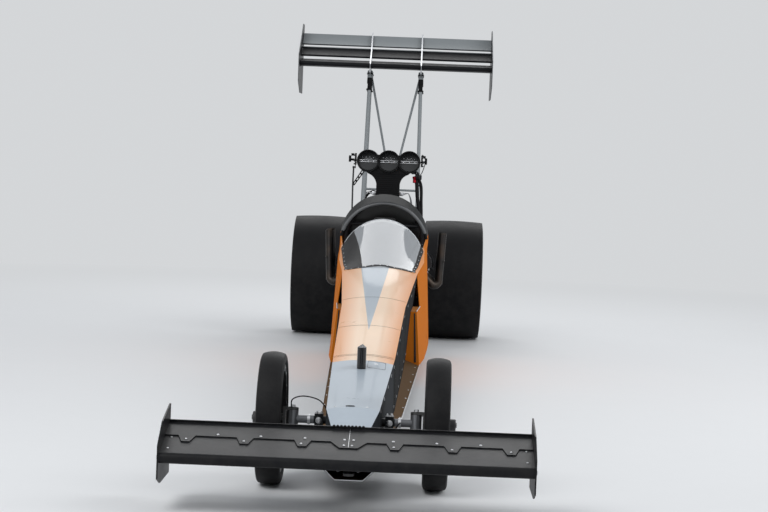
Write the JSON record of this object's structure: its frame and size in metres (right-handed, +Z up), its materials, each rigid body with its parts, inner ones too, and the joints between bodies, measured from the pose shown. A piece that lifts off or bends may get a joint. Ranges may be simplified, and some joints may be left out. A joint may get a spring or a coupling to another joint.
{
  "type": "drag racing car",
  "caption": "Long, narrow nitro drag racing car with an open blown engine behind the driver, a tall rear wing, a low front wing and steered front wheels.",
  "frame": {"origin": "on the ground, on the car's centre line, midway along its whole length", "axes": "+Z up, -Y towards the car's nose, +X to the driver's left"},
  "size_m": [1.5166, 9.87, 2.4249],
  "materials": {
    "orange_paint": "satin",
    "grey_paint": "gloss",
    "dark_panel": "gloss",
    "carbon": "woven carbon",
    "clear_screen": "clear",
    "black_sheet": "satin",
    "wing_grey": "satin",
    "stand_grey": "satin",
    "frame_paint": "satin",
    "tyre_rubber": "matt",
    "small_tyre": "matt",
    "belt_rubber": "matt",
    "black_rim": "satin",
    "polished_rim": "polished",
    "axle_steel": "brushed",
    "machined_steel": "machined",
    "machined_aluminium": "machined",
    "black_steel": "satin",
    "cast_housing": "painted",
    "cast_aluminium": "cast",
    "black_aluminium": "anodised",
    "titanium_can": "blasted",
    "header_steel": "heat stained",
    "hat_black": "satin carbon",
    "black_plastic": "gloss",
    "pack_fabric": "woven nylon",
    "seat_pad": "padded cover"
  },
  "bodies": {
    "chassis": {"axle_housing": "cast_housing", "belly_pan": "dark_panel", "clutch_can": "titanium_can", "cockpit_tub": "orange_paint", "cowl_fin": "black_plastic", "cylinder_heads": "cast_aluminium", "drive_belt": "belt_rubber", "drive_pulleys": "black_aluminium", "engine_block": "cast_aluminium", "firewall": "carbon", "front_axle": "axle_steel", "front_endplates": "black_sheet", "front_frame": "frame_paint", "front_wing": "black_sheet", "front_wing_carriers": "black_aluminium", "head_fairing": "dark_panel", "headers": "header_steel", "injector_hat": "hat_black", "main_cowl": "orange_paint", "manifold": "cast_aluminium", "nose_cowl": "grey_paint", "parachute_packs": "pack_fabric", "rear_endplates": "black_sheet", "rear_frame": "frame_paint", "rear_wing": "wing_grey", "roll_cage": "frame_paint", "seat": "seat_pad", "supercharger": "black_aluminium", "throttle_blades": "machined_aluminium", "valve_covers": "black_aluminium", "wheelie_bars": "frame_paint", "windscreen": "clear_screen", "wing_stand": "stand_grey"},
    "knuckle_left": {"knuckle_left": "black_steel"},
    "knuckle_right": {"knuckle_right": "black_steel"},
    "tie_rod": {"tie_rod": "black_steel"},
    "front_wheel_left": {"front_tyre_left": "tyre_rubber", "front_rim_left": "black_rim"},
    "front_wheel_right": {"front_tyre_right": "tyre_rubber", "front_rim_right": "black_rim"},
    "rear_axle": {"rear_axle": "machined_steel", "rear_tyres": "tyre_rubber", "rear_rims": "polished_rim"},
    "wheelie_wheels": {"wheelie_wheels": "small_tyre"},
    "steering_wheel": {"steering_wheel": "black_steel"}
  },
  "joints": [
    {"name": "steering", "type": "hinge", "parent": "chassis", "child": "steering_wheel", "pos_m": [0, 0.875, 0.64], "axis": [0, 0.9397, 0.342], "range_deg": [-60, 60]},
    {"name": "steer_left", "type": "hinge", "parent": "chassis", "child": "knuckle_left", "pos_m": [0.262, -4.105, 0.2825], "axis": [0, 0.2588, 0.9659], "range_deg": [-12.5, 12.5]},
    {"name": "steer_right", "type": "hinge", "parent": "chassis", "child": "knuckle_right", "pos_m": [-0.262, -4.105, 0.2825], "axis": [0, 0.2588, 0.9659], "range_deg": [-12.5, 12.5]},
    {"name": "tie_rod_slide", "type": "slide", "parent": "chassis", "child": "tie_rod", "axis": [1, 0, 0], "range_m": [-0.026, 0.026]},
    {"name": "front_spin_left", "type": "hinge", "parent": "knuckle_left", "child": "front_wheel_left", "pos_m": [0.35, -4.105, 0.2825], "axis": [1, 0, 0], "continuous": true},
    {"name": "front_spin_right", "type": "hinge", "parent": "knuckle_right", "child": "front_wheel_right", "pos_m": [-0.35, -4.105, 0.2825], "axis": [1, 0, 0], "continuous": true},
    {"name": "rear_spin", "type": "hinge", "parent": "chassis", "child": "rear_axle", "pos_m": [0, 3.515, 0.457], "axis": [1, 0, 0], "continuous": true},
    {"name": "wheelie_spin", "type": "hinge", "parent": "chassis", "child": "wheelie_wheels", "pos_m": [0, 4.869, 0.112], "axis": [1, 0, 0], "continuous": true}
  ],
  "couplings": [
    {"joint": "steer_left", "follows": "steering", "ratio": 0.2},
    {"joint": "steer_right", "follows": "steering", "ratio": 0.2},
    {"joint": "tie_rod_slide", "follows": "steering", "m_per_rad": -0.023}
  ]
}
